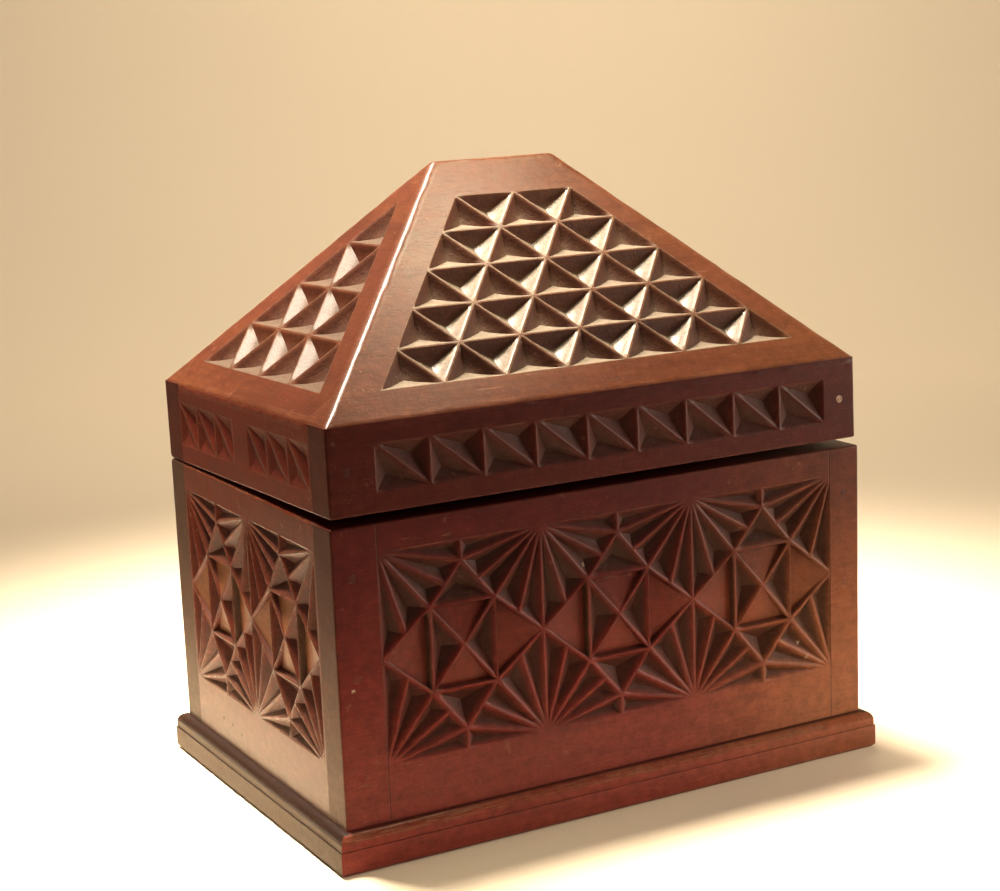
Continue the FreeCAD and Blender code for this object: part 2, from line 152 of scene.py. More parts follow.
class Signal:
    """A socket in a material's node tree. Arithmetic on it adds Math nodes."""

    def __init__(self, tree, socket=None):
        self.tree = tree
        self.socket = socket

    def node(self, kind, settings=None, inputs=None, output=0):
        """Adds a node: its settings first, then its sockets' values or links. Gives one output."""
        added = self.tree.nodes.new(kind)
        for name, value in (settings or {}).items():
            setattr(added, name, value)
        for name, value in (inputs or {}).items():
            if isinstance(value, Signal):
                self.tree.links.new(value.socket, added.inputs[name])
            else:
                added.inputs[name].default_value = value
        return Signal(self.tree, added.outputs[output])

    def math(self, operation, first, second=0.0):
        return self.node("ShaderNodeMath", {"operation": operation}, {0: first, 1: second})

    def __add__(self, other):
        return self.math("ADD", self, other)

    __radd__ = __add__

    def __mul__(self, other):
        return self.math("MULTIPLY", self, other)

    __rmul__ = __mul__

    def __sub__(self, other):
        return self.math("SUBTRACT", self, other)

    def __rsub__(self, other):
        return self.math("SUBTRACT", other, self)

    def larger(self, other):
        return self.math("MAXIMUM", self, other)

    def between(self, low, high):
        """0 below low, 1 above high, smooth in between."""
        settings = {"interpolation_type": "SMOOTHSTEP"}
        return self.node("ShaderNodeMapRange", settings, {"Value": self, "From Min": low, "From Max": high})

    def near(self, place, width, core=0.4):
        """1 at a place and over the core of a width, 0 further from it than the width."""
        return 1 - self.math("ABSOLUTE", self - place).between(width * core, width)

    def blend(self, first, second):
        """The first colour where this is 0, the second where it is 1."""
        return self.node("ShaderNodeMix", {"data_type": "RGBA"}, {0: self, 6: first, 7: second}, 2)

    def scaled(self, factor):
        """This colour, brighter or darker by a factor."""
        return self.node("ShaderNodeVectorMath", {"operation": "SCALE"}, {0: self, "Scale": factor})

    def part(self, axis):
        """One coordinate of this vector."""
        return self.node("ShaderNodeSeparateXYZ", None, {"Vector": self}, axis)

    def mapped(self, scale, offset=(0, 0, 0), turn=(0, 0, 0)):
        """This vector scaled, turned and moved."""
        values = {"Vector": self, "Location": offset, "Rotation": turn, "Scale": scale}
        return self.node("ShaderNodeMapping", None, values)

    def noise(self, scale, detail=2.0, roughness=0.5, distortion=0.0):
        """Noise on this vector."""
        values = {"Vector": self, "Scale": scale, "Detail": detail}
        values.update({"Roughness": roughness, "Distortion": distortion})
        return self.node("ShaderNodeTexNoise", None, values, "Fac")

    def place(self):
        """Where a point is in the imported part's frame."""
        return self.node("ShaderNodeTexCoord", output="Object")

    def mark(self, label):
        """What a piece's mesh says of its surface under a label."""
        return self.node("ShaderNodeAttribute", {"attribute_name": label}, None, "Fac")

    def bump(self, strength, depth):
        """The surface's direction where this is its height."""
        values = {"Strength": strength, "Distance": depth, "Height": self}
        return self.node("ShaderNodeBump", None, values)


def colour(red, green, blue):
    return (red, green, blue, 1.0)


def new_material(name):
    """An empty node material: its first signal and its surface shader's node."""
    material = bpy.data.materials.new(name)
    material.use_nodes = True
    tree = material.node_tree
    shader = tree.nodes["Principled BSDF"]
    return material, Signal(tree), shader


def feed(shader, signals):
    for name, signal in signals.items():
        signal.tree.links.new(signal.socket, shader.inputs[name])


# Finishes

# Wood tones, from the dirt and painted shade in the hollows to bare worn wood; some stand for painted light,
# as said at each
# Dark brown: pores, scribed lines, and dirt in the hollows, where it is also painted shade
wood_dirt_and_shade = colour(0.031, 0.0140, 0.0090)
# Near black: stain, holes, and painted shade on the base's ledges and back
wood_stain_and_shade = colour(0.014, 0.0080, 0.0046)
wood_deep = colour(0.050, 0.0068, 0.0041)
wood_red = colour(0.088, 0.0118, 0.0073)
wood_light = colour(0.112, 0.0226, 0.0108)
# Painted light: the pale tan of lit right ends and of the sheen on wide facets
wood_lit_tan = colour(0.290, 0.1120, 0.0400)
wood_bare = colour(0.160, 0.0753, 0.0398)
wood_end = colour(0.088, 0.0622, 0.0348)
# Painted reflection: the sheen of the bright floor low on the walls
wood_foot_sheen = colour(0.165, 0.1290, 0.0960)
# Dust and wax on up-facing facets, partly standing in for a painted sheen there
wood_wax_and_sheen = colour(0.135, 0.1120, 0.0800)
wood_chip = colour(0.380, 0.2900, 0.2000)
# Painted shade: how far the deep tone darkens at the tops of the walls
shade_share = (0.45, 0.42, 0.45)
# Painted shade at the top of the wax over the pins
wax_shade_share = (0.76, 0.60, 0.60)

GRAIN_STRETCH = 14.0
GRAIN_SHIFT = (17.3, 31.1, 47.9)
GRAIN_TURN = (0.012, 0.02, 0.015)
SCRATCH_STRETCH = (0.12, 1.0, 1.0)
SCRATCH_TURN = (0.5, 0.7, 0.9)
PER_MM = (1 / MM, 1 / MM, 1 / MM)
# How dark the base goes: its back with dirt and painted shade, its sawn ends with stain, and the ledge at the
# wall's foot with dirt and painted shade
back_dirt_and_shade = 0.45
end_stain = 0.2
foot_dirt_and_shade = 0.7
gauge_line_width = 0.30 * MM
hole_width = 0.9 * MM
nick_width = 0.8 * MM
LEFT_WALL_HOLES = ((24.4 * MM, 21.3 * MM), (16.3 * MM, 20.0 * MM), (32.9 * MM, 21.5 * MM))
FRONT_WALL_NICKS = (
    (-10.9 * MM, 84.0 * MM), (74.7 * MM, 42.2 * MM), (77.2 * MM, 37.0 * MM), (-95.1 * MM, 57.6 * MM),
)
# How high the painted floor sheen reaches up the walls
foot_sheen_height = 45 * MM
case_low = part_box("front_wall")[0][2]
case_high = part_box("front_wall")[1][2]
case_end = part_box("front_wall")[1][0]
case_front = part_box("front_wall")[0][1]
# Where the painted light towards the right end begins
end_light_start = 0.1 * case_end

# What a finished piece's faces and points say of its surface
FACE_MARKS = ("worn", "wide", "end_grain", "facing_up", "stain_and_shade")
POINT_MARKS = ("hollow",)

# How each kind of board has aged, where it isn't as the varnish usually is, and how much painted light and
# shade it carries
FINISHES = {
    "front_wall": {
        "share": (1.60, 1.02, 1.30), "grime_and_shade": 0.95, "dust_and_sheen": 0.05, "rubbing": 0.12, "wide_sheen": 0.12,
        "sawn": 0.75, "top_shade": 0.9, "end_light": 0.75, "foot_sheen": 0.10,
    },
    # The back wall's darker share is painted shade, set against the lamp behind it
    "back_wall": {
        "share": (1.00, 0.80, 0.80), "gloss": 0.12, "grime_and_shade": 0.95, "dust_and_sheen": 0.05, "rubbing": 0.12,
        "wide_sheen": 0.12, "sawn": 0.75, "top_shade": 0.6, "foot_sheen": 0.15,
    },
    "side_wall": {
        "share": (1.50, 1.25, 0.62), "gloss": 0.16, "grime_and_shade": 0.45, "dust_and_sheen": 0.2, "rubbing": 0.45,
        "wide_sheen": 1.0, "sawn": 0.75, "pooled": 0.10, "top_shade": 0.5, "foot_sheen": 0.75,
    },
    "long_rim": {"share": (0.56, 0.42, 0.44), "gloss": 0.09, "grime_and_shade": 0.6, "rubbing": 0.06, "sawn": 0.05},
    # The side rims' lighter share and little grime are painted light, lifting chips that lie in shade
    "side_rim": {"share": (1.00, 0.85, 0.70), "rough": 0.40, "grime_and_shade": 0.1, "rubbing": 0.25, "sawn": 0.05},
    "front_roof": {
        "share": (0.76, 1.30, 0.88), "gloss": 0.16, "rough": 0.30, "dust_and_sheen": 1.0, "wax_and_sheen": 1.2, "pooled": 0.10,
        "end_light": 0.15,
    },
    "back_roof": {"share": (0.70, 1.00, 0.70), "gloss": 0.12, "dust_and_sheen": 0.3, "pooled": 0.05},
    "side_roof": {
        "share": (0.72, 1.05, 0.62), "gloss": 0.09, "rough": 0.46, "grime_and_shade": 0.0, "dust_and_sheen": 0.8, "wax_and_sheen": 0.55,
    },
    # The base's lighter, greyer share is partly painted sheen
    "base": {
        "share": (1.95, 2.00, 2.20), "gloss": 0.15, "grime_and_shade": 0.5, "dust_and_sheen": 0.0, "rubbing": 0.75, "sawn": 1.0,
        "end_light": 0.5,
    },
}


def toned(tone, share):
    return colour(*(value * part for value, part in zip(tone, share)))


class WoodPlaces:
    """The places on a board that its finish follows: along the grain, all round, and level."""

    def __init__(self, start, grain_axis, seed):
        place = start.place()
        offset = shifted(seed, GRAIN_SHIFT)
        stretch = [1 / MM] * 3
        stretch[grain_axis] /= GRAIN_STRETCH
        self.along = place.mapped(stretch, offset, GRAIN_TURN)
        self.spot = place.mapped(PER_MM, offset)
        self.slant = self.spot.mapped(SCRATCH_STRETCH, turn=SCRATCH_TURN)
        self.run = place.part(grain_axis)
        self.z = place.part("Z")

    def spots(self, places, width):
        """1 on some small spots, each given by its place along the board and its height."""
        total = self.z * 0
        for run, height in places:
            total = total + self.run.near(run, width) * self.z.near(height, width)
        return total


def varnished_wood(
    name, grain_axis, seed, share, gloss=0.10, rough=0.36, grime_and_shade=0.05, dust_and_sheen=0.1, rubbing=0.3, wide_sheen=0.0,
    sawn=0.5, pooled=0.0, wax_and_sheen=1.0, top_shade=0.0, end_light=0.0, foot_sheen=0.0,
    gauge_lines=(), holes=(), nicks=(),
):
    """Old varnish over reddish fine-grained wood, whose grain runs along one axis of the frame.

    The share is how much of the red, green and blue it has. The rest say how glossy and how rough it is,
    how much dirt and painted shade its hollows hold, how much dust and wax, with a painted sheen, its
    ledges hold, how far its crests are rubbed bare, how much painted sheen pales its wide facets, how dull
    its sawn ends are, how much varnish has pooled, how pale its wax and sheen are, how much painted shade
    darkens its top, how much painted light pales its right end, and how much painted floor sheen pales its
    foot, with more coat there. Lines, holes and nicks have their own places.
    """
    material, start, shader = new_material(name)
    deep, red, light = (toned(tone, share) for tone in (wood_deep, wood_red, wood_light))
    at = WoodPlaces(start, grain_axis, seed)
    marks = {label: start.mark(label) for label in FACE_MARKS + POINT_MARKS}

    figure = at.along.noise(0.09, 2.0, 0.55, 0.4)
    streaks = at.along.noise(0.8, 4.0, 0.62)
    pores = at.along.noise(3.2, 2.0, 0.5).between(0.60, 0.74)
    fibres = at.along.noise(2.2, 3.0, 0.65)
    blotches = at.spot.noise(0.035, 3.0, 0.6)
    specks = at.spot.noise(0.9, 4.0, 0.7)
    mottle = at.spot.noise(0.30, 5.0, 0.72)
    ripples = at.spot.noise(0.22, 2.0, 0.5)
    chatter = at.spot.noise(0.8, 3.0, 0.6, 0.8) * marks["hollow"].between(0.0, 0.12)
    dents = ripples.between(0.70, 0.76)
    flecks = at.spot.noise(1.3, 2.0, 0.5).between(0.66, 0.74)
    scratches = at.slant.noise(0.55, 2.0, 0.5).between(0.70, 0.75)
    scribed = sum((at.run.near(line, gauge_line_width) for line in gauge_lines), 0 * specks)

    tone = figure * 0.5 + streaks * 0.3 + blotches * 0.2
    plain = tone.between(0.32, 0.66).blend(deep, light)
    stained = (blotches.between(0.3, 0.7) * 0.5 + 0.25).blend(plain, red)
    veined = (pores * 0.45).blend(stained, wood_dirt_and_shade)
    # Painted sheen: wide facets paled towards the lit tan
    wide_sheened = (marks["wide"] * (blotches * 0.6 + 0.5) * wide_sheen).blend(veined, wood_lit_tan)
    cut_end = (marks["end_grain"] * (specks.between(0.2, 0.6) * 0.4 + 0.6) * sawn).blend(wide_sheened, wood_end)
    # Painted light: paler towards the right end
    toward_end = at.run.between(end_light_start, case_end) * (blotches * 0.5 + 0.6)
    end_lit = (toward_end * end_light).blend(cut_end, wood_lit_tan)
    # Painted shade: darker towards the top of the case
    toward_top = at.z.between(case_low, case_high) * (blotches * 0.6 + 0.6)
    shaded = (toward_top * top_shade).blend(end_lit, toned(deep, shade_share))
    # Painted reflection: paler near the foot, more on sawn ends, the sheen of the bright floor
    toward_foot = (1 - at.z.between(case_low, case_low + foot_sheen_height)) * (blotches * 0.6 + 0.5)
    foot_sheened = (toward_foot * (marks["end_grain"] * 0.4 + foot_sheen)).blend(shaded, wood_foot_sheen)
    # Stain, and painted shade on the base's back and ledges
    stained_and_shaded = (marks["stain_and_shade"] * 0.95).blend(foot_sheened, wood_stain_and_shade)
    # Dirt and painted shade in the hollows, darker with depth
    dirtied_and_shaded = (marks["hollow"].between(0.02, 0.42) * (specks * 0.35 + 0.65) * grime_and_shade).blend(stained_and_shaded, wood_dirt_and_shade)
    # Dust and wax on up-facing facets, partly a painted sheen
    wax = toned(wood_wax_and_sheen, (wax_and_sheen, wax_and_sheen, wax_and_sheen))
    ledges = marks["facing_up"].between(0.10, 0.95) * (specks.between(0.2, 0.7) * 0.6 + 0.4)
    dusted_and_sheened = (ledges * dust_and_sheen).blend(dirtied_and_shaded, wax)
    bared = marks["worn"] * blotches.between(0.25, 0.60) * (fibres.between(0.38, 0.62) * 0.8 + 0.2)
    rubbed = (bared * rubbing).blend(dusted_and_sheened, wood_bare)
    scuffed = (flecks * 0.22).larger((dents * 0.25).larger(scratches * 0.30)).blend(rubbed, wood_bare)
    scored = (scribed * (specks * 0.8 + 0.2)).blend(scuffed, wood_dirt_and_shade)
    holed = (at.spots(holes, hole_width) * 0.85).blend(scored, wood_stain_and_shade)
    nicked = (at.spots(nicks, nick_width) * specks.between(0.35, 0.6)).blend(holed, wood_chip)

    uneven = nicked.scaled(mottle * 1.2 + fibres * 0.6 + 0.10)

    dulled = marks["hollow"].between(0.0, 0.2) * 0.10 + marks["end_grain"] * 0.15
    roughness = rough - 0.06 + blotches * 0.16 + mottle * 0.16 + dulled - marks["worn"] * rubbing * 0.45
    grain_height = streaks * 0.3 + fibres * 0.5 - pores * 0.5 + specks * 0.5
    damage = dents * 0.9 + flecks * 0.7 + scratches * 0.5 + scribed * 1.5
    height = grain_height + ripples * 1.8 + chatter * 3.6 - damage
    varnish = 0.06 + marks["hollow"].between(0.0, 0.1) * pooled + toward_foot * foot_sheen * 0.4

    feed(shader, {"Base Color": uneven, "Roughness": roughness, "Coat Weight": varnish})
    feed(shader, {"Normal": height.bump(0.45, 0.14 * MM)})
    shader.inputs["Specular IOR Level"].default_value = gloss
    shader.inputs["Coat Roughness"].default_value = 0.22
    return material


def old_metal(name, bright, dull, seed):
    """Handled metal: bright where it is rubbed, dull and spotted elsewhere."""
    material, start, shader = new_material(name)
    spot = start.place().mapped(PER_MM, (seed, seed, seed))
    clouds = spot.noise(0.35, 4.0, 0.6)
    scratches = spot.noise(3.0, 2.0, 0.7)
    tarnish = clouds.between(0.35, 0.65) * (1 - start.mark("worn") * 0.7)
    feed(shader, {"Base Color": tarnish.blend(bright, dull), "Normal": scratches.bump(0.2, 0.05 * MM)})
    feed(shader, {"Roughness": 0.28 + tarnish * 0.25 + scratches * 0.1})
    shader.inputs["Metallic"].default_value = 1.0
    return material


def stopped_pin_finish():
    """Pin heads punched below the surface and stopped with coloured wax, which some have lost. The wax
    carries the walls' painted shade towards the top and painted light towards the right end.
    """
    material, start, shader = new_material("stopped_pins")
    place = start.place()
    crumbs = place.mapped(PER_MM).noise(1.4, 3.0, 0.6)
    height = place.part("Z").between(case_low, case_high)
    toward_end = place.part("X").between(end_light_start, case_end)
    in_front = 1 - place.part("Y").between(-MM, MM)
    front_red = toned(wood_red, FINISHES["front_wall"]["share"])
    # Painted light towards the right end, as on the front wall
    wax_low = (toward_end * in_front * 0.6).blend(front_red, wood_lit_tan)
    # Painted shade towards the top, as on the walls
    wax = height.blend(wax_low, toned(wood_deep, wax_shade_share)).scaled(crumbs * 0.6 + 0.7)
    old_head = crumbs.between(0.35, 0.65).blend(colour(0.42, 0.30, 0.22), colour(0.20, 0.11, 0.07))
    feed(shader, {"Base Color": start.mark("bare").blend(wax, old_head)})
    feed(shader, {"Roughness": 0.45 + crumbs * 0.2, "Normal": crumbs.bump(0.3, 0.1 * MM)})
    shader.inputs["Specular IOR Level"].default_value = 0.20
    return material


# Boards

OUTWARD = {
    "front": Vector((0, -1, 0)),
    "back": Vector((0, 1, 0)),
    "left": Vector((-1, 0, 0)),
    "right": Vector((1, 0, 0)),
}
UP = Vector((0, 0, 1))


def merged_copy(node):
    """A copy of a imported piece, with its loose triangles joined into flat faces."""
    bm = bmesh.new()
    bm.from_mesh(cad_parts[node].data)
    bmesh.ops.remove_doubles(bm, verts=bm.verts, dist=merge_distance)
    bmesh.ops.dissolve_limit(bm, angle_limit=flat_angle, verts=bm.verts, edges=bm.edges)
    return bm


class CarvedSide:
    """The carved side of a board: its plane, and depths below it."""

    def __init__(self, bm, nominal):
        facing = [face for face in bm.faces if face.normal.dot(nominal) > side_facing]
        largest = max(facing, key=lambda face: face.calc_area())
        self.normal = largest.normal.copy()
        self.reach = self.normal.dot(largest.verts[0].co)
        self.across = UP.cross(self.normal).normalized()
        self.upward = self.normal.cross(self.across)

    def depth(self, point):
        return self.reach - self.normal.dot(point)

    def deepest(self, face):
        return max(self.depth(vert.co) for vert in face.verts)

    def chip_faces(self, bm):
        return {face for face in bm.faces if surface_slack < self.deepest(face) < chip_limit}

    def raised(self, point, share):
        """A point below the plane, at a share of its depth."""
        return point + self.normal * self.depth(point) * (1 - share)

    def flat(self, point):
        """A point's place on the plane, in millimetres."""
        return Vector((self.across.dot(point), self.upward.dot(point))) / MM

    def point(self, place):
        """The point of the plane at a place in millimetres."""
        return (self.across * place[0] + self.upward * place[1]) * MM + self.normal * self.reach


def stray(point, amount, reach, seed):
    """How far a hand-cut point lies from where it was marked out."""
    return noise.noise_vector(point / reach + shifted(seed, STRAY_SHIFT)) * amount


def touching_groups(things, beside):
    """Faces or points sorted into groups that touch, in the same order each run."""
    left = dict.fromkeys(things)
    groups = []
    while left:
        group = [next(iter(left))]
        del left[group[0]]
        for one in group:
            for other in beside(one):
                if other in left:
                    del left[other]
                    group.append(other)
        groups.append(group)
    return groups


def faces_beside(face):
    return [other for edge in face.edges for other in edge.link_faces]


def points_beside(vert):
    return [edge.other_vert(vert) for edge in vert.link_edges]


def triangle_area(a, b, c):
    return (b - a).cross(c - a).length / 2


class Chip:
    """One chip of the carving: three corners on the surface and the corners of its floor."""

    def __init__(self, corners, floor, middle, is_pit):
        self.corners = corners
        self.floor = floor
        self.middle = middle
        a, b, c = corners
        lengths = [(b - c).length, (c - a).length, (a - b).length]
        self.centre = (a * lengths[0] + b * lengths[1] + c * lengths[2]) / sum(lengths)
        self.radius = 2 * triangle_area(a, b, c) / sum(lengths)
        self.is_pit = is_pit


def read_chip(group, side):
    """The chip that a group of facets makes, or nothing if the group is some other cut."""
    verts = {vert for face in group for vert in face.verts}
    points = sorted((vert.co.copy() for vert in verts), key=tuple)
    rim = [point for point in points if side.depth(point) < surface_slack]
    low = [point for point in points if side.depth(point) >= surface_slack]
    if len(rim) < 3 or len(low) not in (1, 2):
        return None
    corners = max(itertools.combinations(rim, 3), key=lambda three: triangle_area(*three))
    if len(low) == 1:
        return Chip(list(corners), low * 3, low[0], True)
    start = max(corners, key=lambda corner: min((corner - foot).length for foot in low))
    ends = [corner for corner in corners if corner is not start]
    feet = [min(low, key=lambda foot: (foot - end).length) for end in ends]
    middle = (feet[0] + feet[1]) / 2
    head = start.lerp(middle, ramp_head)
    return Chip([start] + ends, [head] + feet, (head + feet[0] + feet[1]) / 3, False)


def round_the_sides(points, count):
    """Points along the sides of a triangle, each side in as many steps."""
    ring = []
    for i in range(3):
        start = points[i]
        end = points[(i + 1) % 3]
        ring += [start.lerp(end, step / count) for step in range(count)]
    return ring


def chip_rings(chip, side, seed, scoop_share):
    """Rings of points from the land round a chip down to its floor: a worn crest, then scooped facets."""
    longest = max((chip.corners[i] - chip.corners[i - 1]).length for i in range(3))
    count = max(3, round(longest / ring_spacing))
    is_pit = chip.is_pit
    room = min(floor_stray, floor_room * chip.radius)
    shift = stray(chip.centre, room, floor_stray_reach, seed) if is_pit else Vector()
    floor = [corner + shift for corner in chip.floor]
    inner_share = crest_round / (chip.radius if is_pit else ramp_wall)
    grown = crest_round / chip.radius
    outer = [corner + (corner - chip.centre) * grown for corner in chip.corners]
    rings = [round_the_sides(outer, count)]
    inner = [corner.lerp(foot, inner_share) for corner, foot in zip(chip.corners, floor)]
    drops = [side.normal * side.depth(end) * crest_drop for end in inner]
    lowered = [corner - drop for corner, drop in zip(chip.corners, drops)]
    rings.append(round_the_sides(lowered, count))
    rings.append(round_the_sides(inner, count))
    for share in (facet_shares if is_pit else ramp_shares):
        level = [corner.lerp(foot, share) for corner, foot in zip(chip.corners, floor)]
        scoop = side.normal * (side.depth(floor[1]) * scoop_share * share * (1 - share) if is_pit else 0.0)
        ring = round_the_sides([point - scoop for point in level], count)
        waves = [stray(point, facet_wave, facet_wave_reach, seed).dot(side.normal) for point in ring]
        rings.append([point + side.normal * wave for point, wave in zip(ring, waves)])
    return rings, count, chip.middle + shift


def add_chip(bm, layers, rings, count, middle, side, is_pit, is_wide):
    """The mesh of one chip. Its first ring is already there, on the land."""
    made = []
    for number, (outer, inner) in enumerate(zip(rings, rings[1:])):
        for i in range(len(outer)):
            j = (i + 1) % len(outer)
            face = bm.faces.new((outer[i], outer[j], inner[j], inner[i]))
            made.append(face)
            if number < crest_strips:
                face[layers["worn"]] = 1.0
            elif i % count == 0:
                valley = bm.edges.get((outer[i], inner[i]))
                valley.smooth = False
    last = rings[-1]
    bottom = bm.verts.new(middle)
    for i in range(len(last)):
        floor = bm.faces.new((last[i], last[(i + 1) % len(last)], bottom))
        made.append(floor)
        if not is_pit:
            # Wide ramp floors, which take a painted sheen
            floor[layers["wide"]] = 1.0 if is_wide else 0.0
            bm.edges.get((last[i], last[(i + 1) % len(last)])).smooth = False
    if is_pit:
        for i in range(0, len(last), count):
            bm.edges.get((last[i], bottom)).smooth = False
    for face in made:
        face.smooth = True
        face.normal_update()
        # How squarely a facet faces up, for its dust, wax and painted sheen
        face[layers["facing_up"]] = max(0.0, face.normal.z)
    # How deep each point lies: the dirt and painted shade in the hollows follow it, as do their rougher
    # surface, tool chatter and pooled varnish
    for vert in [bottom] + [vert for ring in rings[1:] for vert in ring]:
        vert[layers["hollow"]] = side.depth(vert.co) / deep_hollow
    if not is_pit:
        for vert in last:
            vert[layers["hollow"]] = wide_ramp_dirt_and_shade if is_wide else fan_dirt_and_shade
        bottom[layers["hollow"]] = 0.0 if is_wide else fan_dirt_and_shade


def boundary_loops(bm):
    """The loops of vertices round the openings of a mesh."""
    open_edges = dict.fromkeys(edge for edge in bm.edges if len(edge.link_faces) == 1)
    loops = []
    while open_edges:
        first = next(iter(open_edges))
        del open_edges[first]
        loop = [first.verts[0], first.verts[1]]
        while True:
            following = next((edge for edge in loop[-1].link_edges if edge in open_edges), None)
            if following is None:
                break
            del open_edges[following]
            loop.append(following.other_vert(loop[-1]))
        loops.append(loop[:-1] if loop[-1] is loop[0] else loop)
    return loops


def ring_area(places):
    """The signed area inside a loop of flat places."""
    return sum(a[0] * b[1] - b[0] * a[1] for a, b in zip(places, places[1:] + places[:1])) / 2


def fill_land(bm, side, chip_verts, spare_points):
    """Fills the flat land between the board's outline, its pin holes and the chips."""
    verts = []
    places = []
    faces = []
    loops = boundary_loops(bm)
    loops.sort(key=lambda loop: -abs(ring_area([side.flat(vert.co) for vert in loop])))
    for loop in loops + chip_verts:
        ring = [side.flat(vert.co) for vert in loop]
        if ring_area(ring) < 0:
            loop = loop[::-1]
            ring = ring[::-1]
        faces.append(list(range(len(verts), len(verts) + len(loop))))
        verts += loop
        places += ring
    verts += [bm.verts.new(point) for point in spare_points]
    places += [side.flat(point) for point in spare_points]
    flat = geometry.delaunay_2d_cdt(places, [], faces, 1, 1e-6)
    new_places, triangles, sources, owners = flat[0], flat[2], flat[3], flat[5]
    outline = 0
    made = []
    land = []
    for place, source in zip(new_places, sources):
        made.append(verts[source[0]] if source else bm.verts.new(side.point(place)))
    for triangle, owner in zip(triangles, owners):
        corners = [made[i] for i in triangle]
        if owner == [outline] and len(set(corners)) == 3:
            land.append(bm.faces.new(corners))
    return land


def carve_again(bm, side, layers, seed, scoop_share, depth_share=1.0, spare_points=()):
    """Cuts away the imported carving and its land, and builds both again as a hand leaves them."""
    depths = {face: side.deepest(face) for face in bm.faces if not face[layers["worn"]]}
    cuts = [face for face, depth in depths.items() if surface_slack < depth < chip_limit]
    land = [face for face, depth in depths.items() if depth <= surface_slack]
    chips = []
    for group in touching_groups(cuts, faces_beside):
        chip = read_chip(group, side)
        if chip:
            chips.append(chip)
            land += group
    chips.sort(key=lambda chip: tuple(chip.centre))
    bmesh.ops.delete(bm, geom=land, context="FACES")
    built = []
    for chip in chips:
        corners = []
        for corner in chip.corners:
            step = stray(corner, corner_stray, corner_stray_reach, seed)
            corners.append(corner + step - side.normal * step.dot(side.normal))
        floor = [side.raised(foot, depth_share) for foot in chip.floor]
        moved = Chip(corners, floor, side.raised(chip.middle, depth_share), chip.is_pit)
        rings, count, middle = chip_rings(moved, side, seed, scoop_share)
        new_rings = [[bm.verts.new(point) for point in ring] for ring in rings]
        a, b, c = corners
        if (b - a).cross(c - a).dot(side.normal) < 0:
            new_rings = [ring[:1] + ring[:0:-1] for ring in new_rings]
        built.append((new_rings, count, middle, moved.is_pit, moved.radius > wide_ramp))
    new_land = fill_land(bm, side, [chip[0][0] for chip in built], spare_points)
    for rings, count, middle, is_pit, is_wide in built:
        add_chip(bm, layers, rings, count, middle, side, is_pit, is_wide)
    return new_land


def new_layers(bm):
    """Room in a piece's mesh for what it says of its surface, for its material to read."""
    layers = {label: bm.faces.layers.float.new(label) for label in FACE_MARKS}
    layers.update({label: bm.verts.layers.float.new(label) for label in POINT_MARKS})
    return layers


def mark_end_grain(bm, layers, grain_axis):
    """Marks the sawn ends of a board."""
    for face in bm.faces:
        if abs(face.normal[grain_axis]) > end_facing:
            face[layers["end_grain"]] = 1.0


# Worn edges of boards

HINGE_NODES = [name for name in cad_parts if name.startswith("hinge")]


def near_a_hinge(point):
    for name in HINGE_NODES:
        low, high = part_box(name)
        if all(low[i] - hinge_margin < point[i] < high[i] + hinge_margin for i in range(3)):
            return True
    return False


def middle_of(edge):
    return (edge.verts[0].co + edge.verts[1].co) / 2


def sharp_edges(bm, layers, skipped_faces):
    """The long outward edges of a board, apart from those of some faces and those round the hinges."""
    found = []
    for edge in bm.edges:
        beside = edge.link_faces
        if len(beside) != 2 or edge.calc_length() < shortest_edge:
            continue
        if any(face in skipped_faces or face[layers["worn"]] for face in beside):
            continue
        if edge.calc_face_angle_signed() >= sharp_turn and not near_a_hinge(middle_of(edge)):
            found.append(edge)
    return found


def round_edges(bm, layers, edges, radius, steps, seed):
    """Rounds edges by hand wear: a little more here, a little less there."""
    lines = [(edge.verts[0].co.copy(), edge.verts[1].co.copy()) for edge in edges]
    pieces = []
    for edge in edges:
        cuts = int(edge.calc_length() / edge_step)
        split = bmesh.ops.bisect_edges(bm, edges=[edge], cuts=cuts)["geom_split"] if cuts else [edge]
        pieces += [part for part in split if isinstance(part, bmesh.types.BMEdge)]
    shape = {"offset": radius, "segments": steps, "profile": 0.5, "clamp_overlap": True}
    rounded = bmesh.ops.bevel(bm, geom=list(dict.fromkeys(pieces)), affect="EDGES", **shape)
    for face in rounded["faces"]:
        face[layers["worn"]] = 1.0
        face.smooth = True
    for vert in rounded["verts"]:
        wear_back(vert, lines, radius, seed)
    bmesh.ops.remove_doubles(bm, verts=bm.verts, dist=merge_distance)


def wear_back(vert, lines, radius, seed):
    """Moves a point of a rounded edge nearer to the edge or away from it, but not at the edge's ends."""
    for start, end in lines:
        foot, share = geometry.intersect_point_line(vert.co, start, end)
        length = (end - start).length
        from_end = min(share, 1 - share) * length
        if (vert.co - foot).length < wear_band * radius and from_end > 0:
            fade = min(1.0, from_end / edge_step)
            place = foot / edge_wave_reach + shifted(seed, WEAR_SHIFT)
            vert.co = foot + (vert.co - foot) * (1 + edge_unevenness * fade * noise.noise(place))
            return


